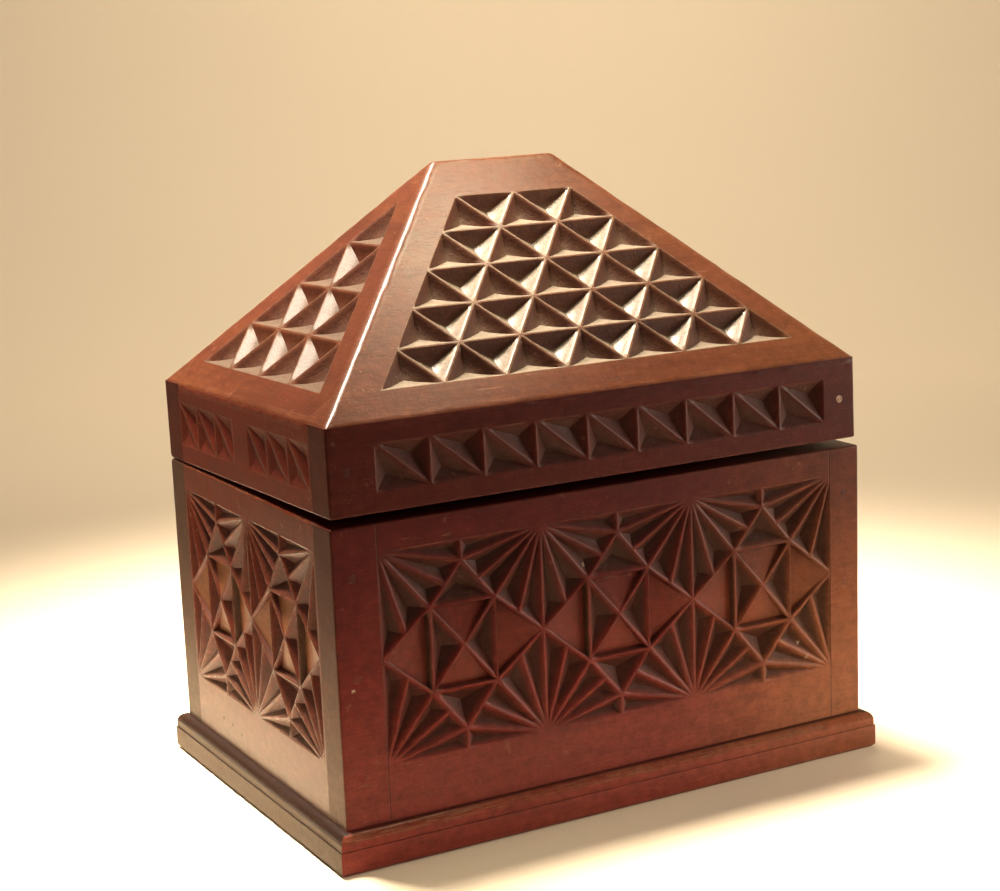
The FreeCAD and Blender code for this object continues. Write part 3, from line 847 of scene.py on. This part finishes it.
class Ridge:
    """A line where two roof boards meet, worn to a round."""

    def __init__(self, one, other, radius):
        self.outward = (one.normal + other.normal).normalized()
        self.along = one.normal.cross(other.normal).normalized()
        self.half_turn = self.outward.angle(one.normal)
        self.radius = radius
        slant = one.normal.dot(other.normal)
        first = (one.reach - other.reach * slant) / (1 - slant * slant)
        second = (other.reach - one.reach * slant) / (1 - slant * slant)
        self.point = one.normal * first + other.normal * second

    def foot(self, place):
        """The point of the sharp line nearest to a place."""
        return self.point + self.along * self.along.dot(place - self.point)

    def worn(self, place):
        """Where a point of the sharp roof lies once the line is worn round."""
        foot = self.foot(place)
        radius = self.radius * (1 + ridge_unevenness * noise.noise(foot / ridge_wave_reach))
        spoke = place - foot + self.outward * (radius / math.cos(self.half_turn))
        if spoke.length > radius and spoke.angle(self.outward) < self.half_turn:
            return place - spoke * (1 - radius / spoke.length)
        return place


def outline_of(bm, side):
    """The edges round the flat side of a board."""
    found = []
    for edge in bm.edges:
        flat = [side.deepest(face) < surface_slack for face in edge.link_faces]
        if sorted(flat) == [False, True] and all(side.depth(vert.co) < surface_slack for vert in edge.verts):
            beside = edge.link_faces[flat.index(False)]
            if side.deepest(beside) >= chip_limit or edge.calc_length() > longest_roof_chip:
                found.append(edge)
    return found


def ridge_points(edges, side, ridges):
    """Rows of points beside the edges that are worn round, inside the outline."""
    starts = [edge.verts[0].co for edge in edges]
    middle = sum(starts, Vector()) / len(starts)
    inward = []
    for edge, start in zip(edges, starts):
        across = side.normal.cross(edge.verts[1].co - start).normalized()
        if across.dot(middle - start) <= 0:
            across = -across
        inward.append((edge, start, across))
    points = []
    for edge, start, across in inward:
        run = edge.verts[1].co - start
        if not any(ridge.worn(middle_of(edge)) != middle_of(edge) for ridge in ridges):
            continue
        for row in ridge_rows:
            for step in range(1, int(run.length / roof_edge_step)):
                point = start + run.normalized() * (step * roof_edge_step) + across * row
                clear = [way.dot(point - other) for e, other, way in inward if e is not edge]
                if min(clear) > row_margin:
                    points.append(point)
    return points


# Boards by kind

def carved_sides(kind, lean):
    """The carved sides of four like boards, whose faces lean upwards by a share."""
    sides = {}
    for name, way in OUTWARD.items():
        bm = merged_copy(kind + name)
        sides[name] = CarvedSide(bm, (way + UP * lean).normalized())
        bm.free()
    return sides


RIMS = carved_sides("rim_", 0.0)
ROOF = carved_sides("roof_", 1.0)
HIPS = [Ridge(ROOF[one], ROOF[other], hip_round) for one in ("front", "back") for other in ("left", "right")]
RIDGES = HIPS + [Ridge(ROOF["front"], ROOF["back"], ridge_round)]
EAVES = {name: Ridge(ROOF[name], RIMS[name], eave_round) for name in OUTWARD}


def level_planes():
    """The outer planes of the case and of the tilted lid, each a direction and a reach along it."""
    case = [(UP, case_high)]
    for name, way in OUTWARD.items():
        case.append((way, max(way.dot(Vector(corner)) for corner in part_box(name + "_wall"))))
    lid_down = RIMS["front"].normal.cross(RIMS["left"].normal)
    lowest = max(lid_down.dot(vert.co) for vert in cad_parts["rim_front"].data.vertices)
    lid = [(side.normal, side.reach) for side in RIMS.values()] + [(lid_down, lowest)]
    return {"case": case, "lid": lid}


OUTER_PLANES = level_planes()


def is_outer(edge, body):
    """Whether two outer sides of the case or lid meet at an edge."""
    middle = middle_of(edge)
    on = [abs(way.dot(middle) - reach) < plane_slack for way, reach in OUTER_PLANES[body]]
    return sum(on) >= 2


def wear_ridges(bm, side, ridges, land, layers):
    """Rounds the points of a board's carved side that lie beside some ridges."""
    beside_a_ridge = set()
    for vert in bm.verts:
        if side.depth(vert.co) < ridge_depth:
            if min((ridge.foot(vert.co) - vert.co).length for ridge in ridges) < ridge_band * ridge_rows[-1]:
                beside_a_ridge.add(vert)
    for vert in beside_a_ridge:
        for ridge in ridges:
            vert.co = ridge.worn(vert.co)
    for face in land:
        if beside_a_ridge.issuperset(face.verts):
            face.smooth = True
            face[layers["worn"]] = ridge_wear


def eave_points(bm, side, eave):
    """Rows of points on a rim board just below the eave."""
    along = [eave.along.dot(vert.co - eave.point) for vert in bm.verts]
    down = -eave.along.cross(side.normal)
    if down.z > 0:
        down = -down
    points = []
    for row in ridge_rows:
        place = min(along) + eave_point_step
        while place < max(along) - eave_point_step:
            points.append(eave.point + eave.along * place + down * row)
            place += eave_point_step
    return points


def carved_board(node, body, side_name, grain_axis, seed, depth_share=1.0, eave=None):
    """One upright board with worn edges, and chips as a hand cuts them. Also gives where its carving ends."""
    bm = merged_copy(node)
    layers = new_layers(bm)
    side = CarvedSide(bm, OUTWARD[side_name])
    edges = sharp_edges(bm, layers, side.chip_faces(bm))
    outer = [edge for edge in edges if is_outer(edge, body)]
    round_edges(bm, layers, outer, board_round, board_round_steps, seed)
    edges = sharp_edges(bm, layers, side.chip_faces(bm))
    round_edges(bm, layers, edges, joint_round, joint_round_steps, seed)
    points = eave_points(bm, side, eave) if eave else ()
    land = carve_again(bm, side, layers, seed, wall_scoop, depth_share, points)
    if eave:
        wear_ridges(bm, side, [eave], land, layers)
    bm.normal_update()
    mark_end_grain(bm, layers, grain_axis)
    carved = [vert.co[grain_axis] for vert in bm.verts if vert[layers["hollow"]]]
    return bm, (min(carved), max(carved))


def roof_board(node, side_name, seed, depth_share):
    """One roof board: round hips, ridge and eave, and chips as a hand cuts them."""
    bm = merged_copy(node)
    layers = new_layers(bm)
    side = ROOF[side_name]
    ridges = RIDGES + [EAVES[side_name]]
    for face in bm.faces:
        if face.normal.z > ridge_facing and surface_slack < side.deepest(face) < ridge_depth:
            face[layers["worn"]] = ridge_wear
    edges = outline_of(bm, side)
    points = ridge_points(edges, side, ridges)
    for edge in edges:
        bmesh.ops.bisect_edges(bm, edges=[edge], cuts=int(edge.calc_length() / roof_edge_step))
    land = carve_again(bm, side, layers, seed, roof_scoop, depth_share, points)
    wear_ridges(bm, side, ridges, land, layers)
    return bm


def linked(name, data):
    """A new object in the scene."""
    made = bpy.data.objects.new(name, data)
    bpy.context.scene.collection.objects.link(made)
    return made


def stand_for(mesh, node, body):
    """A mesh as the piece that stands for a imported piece."""
    mesh.name = node + "_finished"
    piece = linked(node + "_finished", mesh)
    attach(piece, body)
    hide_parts(node)


def finished(bm, node, body, material):
    """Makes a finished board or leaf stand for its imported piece."""
    mesh = bpy.data.meshes.new(node)
    bm.normal_update()
    bm.to_mesh(mesh)
    bm.free()
    mesh.materials.append(material)
    stand_for(mesh, node, body)


def worn_board(node, grain_axis, seed):
    """The base board: softened edges; a bead rubbed bare, whose pale band is also a painted highlight; sawn
    ends dark with stain; and end ledges, back and the ledge at the wall's foot darkened with stain, dirt and
    painted shade.
    """
    bm = merged_copy(node)
    layers = new_layers(bm)
    round_edges(bm, layers, sharp_edges(bm, layers, set()), board_round, board_round_steps, seed)
    for name, way in OUTWARD.items():
        reach = case_end if name in ("left", "right") else -case_front
        parts = bm.verts[:] + bm.edges[:] + bm.faces[:]
        bmesh.ops.bisect_plane(bm, geom=parts, plane_co=way * reach, plane_no=way)
    soften(bm)
    mark_end_grain(bm, layers, grain_axis)
    for face in bm.faces:
        middle = face.calc_center_median()
        if abs(middle[grain_axis]) > case_end and abs(face.normal.y) < moulding_end_lean:
            is_ledge = face.normal.z > end_ledge_lean
            # The end ledges go near black: stain and painted shade
            face[layers["stain_and_shade"]] = 1.0 if is_ledge else end_stain
            face[layers["end_grain"]] = 0.0 if is_ledge else 1.0
            face[layers["worn"]] = 0.0
        elif face.normal.y > moulding_back_lean:
            # The back: dirt and painted shade
            face[layers["stain_and_shade"]] = back_dirt_and_shade
        elif middle.y < case_front and face.normal.z > foot_ledge_lean:
            # The ledge at the wall's foot: dirt and painted shade
            face[layers["stain_and_shade"]] = foot_dirt_and_shade
        elif middle.y < case_front and face.normal.z > bead_lean:
            # The bead: rubbed bare, its pale band also a painted highlight
            face[layers["worn"]] = 1.0
    return bm


def soften(bm):
    """Smooth shading over every gentle turn, with the sharp edges kept."""
    bm.normal_update()
    for face in bm.faces:
        face.smooth = True
    for edge in bm.edges:
        if len(edge.link_faces) == 2 and edge.calc_face_angle() > sharp_turn:
            edge.smooth = False


def worn_metal(node):
    """A metal piece with its long edges dulled."""
    bm = merged_copy(node)
    layers = new_layers(bm)
    edges = [edge for edge in bm.edges if edge.calc_length() > shortest_edge]
    edges = [edge for edge in edges if edge.calc_face_angle_signed() > metal_turn]
    shape = {"offset": metal_round, "segments": metal_round_steps, "profile": 0.5}
    dulled = bmesh.ops.bevel(bm, geom=edges, affect="EDGES", **shape)
    for face in dulled["faces"]:
        face[layers["worn"]] = 1.0
    soften(bm)
    return bm


# Making the fasteners

head_share = 0.1


class Seat:
    """Where one fastener sits: its head's middle, the way it looks out, its head's radius and its length."""

    def __init__(self, verts, ways):
        spans = []
        for way in ways:
            along = [way.dot(vert.co) for vert in verts]
            spans.append((max(along) - min(along), way))
        self.length, way = max(spans, key=lambda span: span[0])
        middle = sum((vert.co for vert in verts), Vector()) / len(verts)
        ends = []
        for outward in (way, -way):
            reach = max(outward.dot(vert.co) for vert in verts)
            end = middle + outward * (reach - outward.dot(middle))
            near = [vert.co for vert in verts if outward.dot(vert.co) > reach - head_share * self.length]
            off = [point - end - outward * outward.dot(point - end) for point in near]
            ends.append((max(step.length for step in off), outward, end))
        self.radius, self.outward, self.point = max(ends, key=lambda one: one[0])


def seats_of(node, body):
    """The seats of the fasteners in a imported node, each a loose solid of its mesh."""
    bm = merged_copy(node)
    ways = [way for way, reach in OUTER_PLANES[body]]
    seats = [Seat(solid, ways) for solid in touching_groups(bm.verts, points_beside)]
    bm.free()
    seats.sort(key=lambda seat: tuple(round(value, 6) for value in seat.point))
    return seats


class FastenerTree:
    """A geometry tree that sets one modelled fastener in each seat, with named inputs for its sizes."""

    def __init__(self, name, material, sizes):
        self.tree = bpy.data.node_groups.new(name, "GeometryNodeTree")
        self.material = material
        sockets = self.tree.interface
        sockets.new_socket("Seats", in_out="INPUT", socket_type="NodeSocketGeometry")
        self.identifiers = {}
        for label in sizes:
            socket = sockets.new_socket(label, in_out="INPUT", socket_type="NodeSocketFloat")
            self.identifiers[label] = socket.identifier
        sockets.new_socket("Fasteners", in_out="OUTPUT", socket_type="NodeSocketGeometry")
        self.start = Signal(self.tree)
        self.given = self.tree.nodes.new("NodeGroupInput")
        self.result = self.tree.nodes.new("NodeGroupOutput")

    def size(self, label):
        return Signal(self.tree, self.given.outputs[label])

    def vector(self, x=0.0, y=0.0, z=0.0):
        return self.start.node("ShaderNodeCombineXYZ", None, {"X": x, "Y": y, "Z": z})

    def moved(self, shape, place, scale=(1, 1, 1)):
        values = {"Geometry": shape, "Translation": place, "Scale": scale}
        return self.start.node("GeometryNodeTransform", None, values)

    def joined(self, shapes):
        join = self.tree.nodes.new("GeometryNodeJoinGeometry")
        for shape in shapes:
            self.tree.links.new(shape.socket, join.inputs[0])
        return Signal(self.tree, join.outputs[0])

    def finish(self, shape, seed):
        """Stands the shape in each seat, turned about its own axis at random."""
        seats = Signal(self.tree, self.given.outputs["Seats"])
        settings = {"data_type": "FLOAT_VECTOR"}
        way = self.start.node("GeometryNodeInputNamedAttribute", settings, {"Name": "outward"})
        upright = self.start.node("FunctionNodeAlignRotationToVector", {"axis": "Z"}, {"Vector": way})
        turn = self.start.node("FunctionNodeRandomValue", {"data_type": "FLOAT"}, {"Seed": seed}, 1)
        turn.socket.node.inputs[3].default_value = math.pi
        spin = self.start.node("FunctionNodeAxisAngleToRotation", None, {"Axis": (0, 0, 1), "Angle": turn})
        values = {"Rotation": upright, "Rotate By": spin}
        placed = self.start.node("FunctionNodeRotateRotation", {"rotation_space": "LOCAL"}, values)
        values = {"Points": seats, "Instance": shape, "Rotation": placed}
        many = self.start.node("GeometryNodeInstanceOnPoints", None, values)
        real = self.start.node("GeometryNodeRealizeInstances", None, {"Geometry": many})
        done = self.start.node("GeometryNodeSetMaterial", None, {"Geometry": real, "Material": self.material})
        self.tree.links.new(done.socket, self.result.inputs[0])
        return self


def pin_tree(material):
    """A pin: a shank, and a low round head just below the board's surface, in shares of its head's radius."""
    pin = FastenerTree("pin", material, ("Head Radius", "Length"))
    radius = pin.size("Head Radius")
    values = {"Vertices": 24, "Side Segments": 1, "Radius": radius * 0.6, "Depth": pin.size("Length")}
    shank = pin.start.node("GeometryNodeMeshCylinder", None, values)
    shank = pin.moved(shank, pin.vector(z=pin.size("Length") * -0.5 - radius * 0.06))
    head = pin.start.node("GeometryNodeMeshUVSphere", None, {"Segments": 24, "Rings": 12, "Radius": radius})
    head = pin.moved(head, pin.vector(z=radius * -0.05), (0.995, 0.995, 0.04))
    return pin.finish(pin.joined([shank, head]), 3)


def screw_tree(name, material):
    """A countersunk screw with a slot across its head, in shares of its head's radius."""
    screw = FastenerTree(name, material, ("Head Radius", "Length"))
    radius = screw.size("Head Radius")
    cone = {"Vertices": 32, "Radius Top": radius * 0.98, "Radius Bottom": radius * 0.5, "Depth": radius * 0.5}
    head = screw.start.node("GeometryNodeMeshCone", None, cone)
    head = screw.moved(head, screw.vector(z=radius * -0.5))
    size = screw.vector(radius * 3.0, radius * 0.26, radius * 0.6)
    slot = screw.start.node("GeometryNodeMeshCube", None, {"Size": size})
    settings = {"operation": "DIFFERENCE", "solver": "EXACT"}
    slotted = screw.start.node("GeometryNodeMeshBoolean", settings, {"Mesh 1": head, "Mesh 2": slot})
    length = screw.size("Length") - radius * 0.5
    rod = {"Vertices": 20, "Radius Top": radius * 0.48, "Radius Bottom": radius * 0.2, "Depth": length}
    shank = screw.start.node("GeometryNodeMeshCone", None, rod)
    shank = screw.moved(shank, screw.vector(z=screw.size("Length") * -1.0))
    return screw.finish(screw.joined([slotted, shank]), 5)


def fasteners(node, body, slot, tree):
    """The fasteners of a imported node, modelled afresh in the same seats."""
    seats = seats_of(node, body)
    points = bpy.data.meshes.new(node + "_seats")
    points.from_pydata([seat.point for seat in seats], [], [])
    points.attributes.new("outward", "FLOAT_VECTOR", "POINT")
    points.attributes.new("bare", "FLOAT", "POINT")
    for i, seat in enumerate(seats):
        is_bare = node == "rim_pins" and seat.point.x > 0 and seat.point.y < 0
        points.attributes["outward"].data[i].vector = seat.outward
        points.attributes["bare"].data[i].value = 1.0 if is_bare else 0.0
    holder = linked(node + "_seats", points)
    maker = holder.modifiers.new("set_fasteners", "NODES")
    maker.node_group = tree.tree
    maker[tree.identifiers["Head Radius"]] = max(seat.radius for seat in seats)
    maker[tree.identifiers["Length"]] = max(seat.length for seat in seats)
    evaluated = holder.evaluated_get(bpy.context.evaluated_depsgraph_get())
    mesh = bpy.data.meshes.new_from_object(evaluated)
    bpy.data.objects.remove(holder)
    stand_for(mesh, node, body)


# The four sides

ALONG_X = 0
ALONG_Y = 1
GRAIN = {"front": ALONG_X, "back": ALONG_X, "left": ALONG_Y, "right": ALONG_Y}
PLACE_IN_FINISHES = {"front": "front_", "back": "back_", "left": "side_", "right": "side_"}
CUT_SEED = {"wall": 0, "rim": 4, "roof": 8, "base": 14}
GRAIN_SEED = {"wall": 1.0, "rim": 5.0, "roof": 9.0, "base": 14.0}
RIM_DEPTH = {"long": 0.85, "side": 0.38}
ROOF_DEPTH = {"long": 1.0, "side": 0.82}
WALL_DAMAGE = {"left": {"holes": LEFT_WALL_HOLES}, "front": {"nicks": FRONT_WALL_NICKS}}
for place, (side, axis) in enumerate(GRAIN.items()):
    run = "long" if axis == ALONG_X else "side"
    cut = {kind: seed + place for kind, seed in CUT_SEED.items()}
    grain = {kind: seed + place for kind, seed in GRAIN_SEED.items()}

    wall, field = carved_board(side + "_wall", "case", side, axis, cut["wall"])
    aging = FINISHES[PLACE_IN_FINISHES[side] + "wall"]
    damage = {"gauge_lines": field if axis == ALONG_X else (), **WALL_DAMAGE.get(side, {})}
    wall_wood = varnished_wood("wood_of_" + side + "_wall", axis, grain["wall"], **aging, **damage)
    finished(wall, side + "_wall", "case", wall_wood)

    rim_wood = varnished_wood("wood_of_" + side + "_rim", axis, grain["rim"], **FINISHES[run + "_rim"])
    rim = carved_board("rim_" + side, "lid", side, axis, cut["rim"], RIM_DEPTH[run], EAVES[side])[0]
    finished(rim, "rim_" + side, "lid", rim_wood)

    aging = FINISHES[PLACE_IN_FINISHES[side] + "roof"]
    roof_wood = varnished_wood("wood_of_" + side + "_roof", axis, grain["roof"], **aging)
    roof = roof_board("roof_" + side, side, cut["roof"], ROOF_DEPTH[run])
    finished(roof, "roof_" + side, "lid", roof_wood)

base_wood = varnished_wood("wood_of_base", ALONG_X, GRAIN_SEED["base"], **FINISHES["base"])
base = worn_board("base_board", ALONG_X, CUT_SEED["base"])
finished(base, "base_board", "case", base_wood)


# Hinges and fasteners

brass = old_metal("tarnished_brass", colour(0.42, 0.29, 0.12), colour(0.15, 0.095, 0.045), 3.0)
iron = old_metal("dark_iron", colour(0.32, 0.30, 0.28), colour(0.07, 0.055, 0.045), 5.0)
stopped_pin = pin_tree(stopped_pin_finish())
hinge_screw = screw_tree("hinge_screw", brass)
base_screw = screw_tree("base_screw", iron)

HINGE_PIECES = {"hinge_case_leaf": "case", "hinge_pin": "case", "hinge_lid_leaf": "lid"}
for kind, body in HINGE_PIECES.items():
    for hand in ("left", "right"):
        node = kind + "_" + hand
        finished(worn_metal(node), node, body, brass)

FASTENERS = {
    "wall_pins": {"body": "case", "slot": "steel", "tree": stopped_pin},
    "rim_pins": {"body": "lid", "slot": "steel", "tree": stopped_pin},
    "base_screws": {"body": "case", "slot": "steel", "tree": base_screw},
    "hinge_case_screws": {"body": "case", "slot": "brass", "tree": hinge_screw},
    "hinge_lid_screws": {"body": "lid", "slot": "brass", "tree": hinge_screw},
}
for node, settings in FASTENERS.items():
    fasteners(node, **settings)


# Studio: a pale sweep under and behind the box, five lamps, and a dim room

floor_level = -0.1 * MM
floor_reach = 6.0
sweep_start = 0.75
sweep_radius = 0.6
sweep_height = 1.4
sweep_turns = 16
lamp_tint = (1.0, 0.86, 0.70)
LAMPS = {
    "overhead_lamp": {
        "place": (-0.09, 0.22, 0.85), "aim": (0.01, 0.05, 0.0), "size": 0.35, "power": 3.4, "spread": 36,
    },
    "side_lamp": {
        "place": (0.60, -0.32, 0.14), "aim": (0.05, -0.07, 0.04), "size": 0.40, "power": 2.3, "spread": 120,
    },
    "near_lamp": {
        "place": (0.072, -0.050, 0.390), "aim": (-0.03, -0.02, 0.19), "size": 0.07, "power": 0.065,
        "spread": 52, "tint": (1.0, 0.89, 0.60),
    },
    "floor_lamp": {
        "place": (0.22, 0.42, 0.55), "aim": (0.25, 0.47, 0.0), "size": 0.5, "power": 0.36, "spread": 110,
    },
    "backdrop_lamp": {
        "place": (0.48, 0.80, 1.25), "aim": (0.70, 1.18, 0.30), "size": 0.6, "power": 8.2, "spread": 160,
    },
}
room_light = 0.23


def studio_sweep():
    """A floor that curves up into a wall behind the box, square to the camera."""
    bm = bmesh.new()
    profile = [(-floor_reach, 0.0), (sweep_start, 0.0)]
    for i in range(1, sweep_turns + 1):
        angle = i / sweep_turns * math.pi / 2
        profile.append((sweep_start + sweep_radius * math.sin(angle), sweep_radius * (1 - math.cos(angle))))
    profile.append((sweep_start + sweep_radius, sweep_height))
    turn = Matrix.Rotation(camera_azimuth, 3, "Z")
    rows = []
    for y, z in profile:
        ends = [turn @ Vector((x, y, z + floor_level)) for x in (-2 * floor_reach, 2 * floor_reach)]
        rows.append([bm.verts.new(end) for end in ends])
    for low, high in zip(rows, rows[1:]):
        face = bm.faces.new((low[0], low[1], high[1], high[0]))
        face.smooth = True
    mesh = bpy.data.meshes.new("studio_sweep")
    bm.to_mesh(mesh)
    bm.free()
    material, start, shader = new_material("pale_paper")
    cloud = start.place().noise(3.0, 2.0, 0.5)
    feed(shader, {"Base Color": cloud.blend(colour(0.80, 0.688, 0.514), colour(0.84, 0.725, 0.547))})
    shader.inputs["Roughness"].default_value = 0.9
    mesh.materials.append(material)
    linked("studio_sweep", mesh)


def lamp(name, place, aim, size, power, spread, tint=lamp_tint):
    light = bpy.data.lights.new(name, "AREA")
    light.shape = "DISK"
    light.size = size
    light.energy = power
    light.spread = math.radians(spread)
    light.color = tint
    holder = linked(name, light)
    holder.location = place
    holder.rotation_euler = (Vector(place) - Vector(aim)).to_track_quat("Z", "Y").to_euler()


def studio():
    studio_sweep()
    for name, settings in LAMPS.items():
        lamp(name, **settings)
    room = bpy.data.worlds.new("dim_room")
    room.use_nodes = True
    walls = room.node_tree.nodes["Background"]
    walls.inputs["Color"].default_value = colour(*lamp_tint)
    walls.inputs["Strength"].default_value = room_light
    bpy.context.scene.world = room


def photograph_camera():
    """The camera that sees the box as the photograph does."""
    level = Vector((math.cos(camera_azimuth), math.sin(camera_azimuth), 0))
    away = Vector((math.sin(camera_azimuth), -math.cos(camera_azimuth), 0))
    back = away * math.cos(camera_elevation) + UP * math.sin(camera_elevation)
    upward = back.cross(level)
    right = level * math.cos(camera_roll) + upward * math.sin(camera_roll)
    top = upward * math.cos(camera_roll) - level * math.sin(camera_roll)
    aside = (sight_pixel[0] - IMAGE_WIDTH / 2) / camera_focal_pixels
    below = (sight_pixel[1] - IMAGE_HEIGHT / 2) / camera_focal_pixels
    spot = sight_point + (back - right * aside + top * below) * camera_distance
    lens = bpy.data.cameras.new("photograph_camera")
    lens.sensor_width = sensor_width
    lens.lens = camera_focal_pixels / IMAGE_WIDTH * sensor_width
    holder = linked("photograph_camera", lens)
    turn = Matrix((right, top, back)).transposed().to_4x4()
    holder.matrix_world = Matrix.Translation(spot) @ turn
    bpy.context.scene.camera = holder


studio()
photograph_camera()
bpy.context.scene.view_settings.view_transform = "Standard"
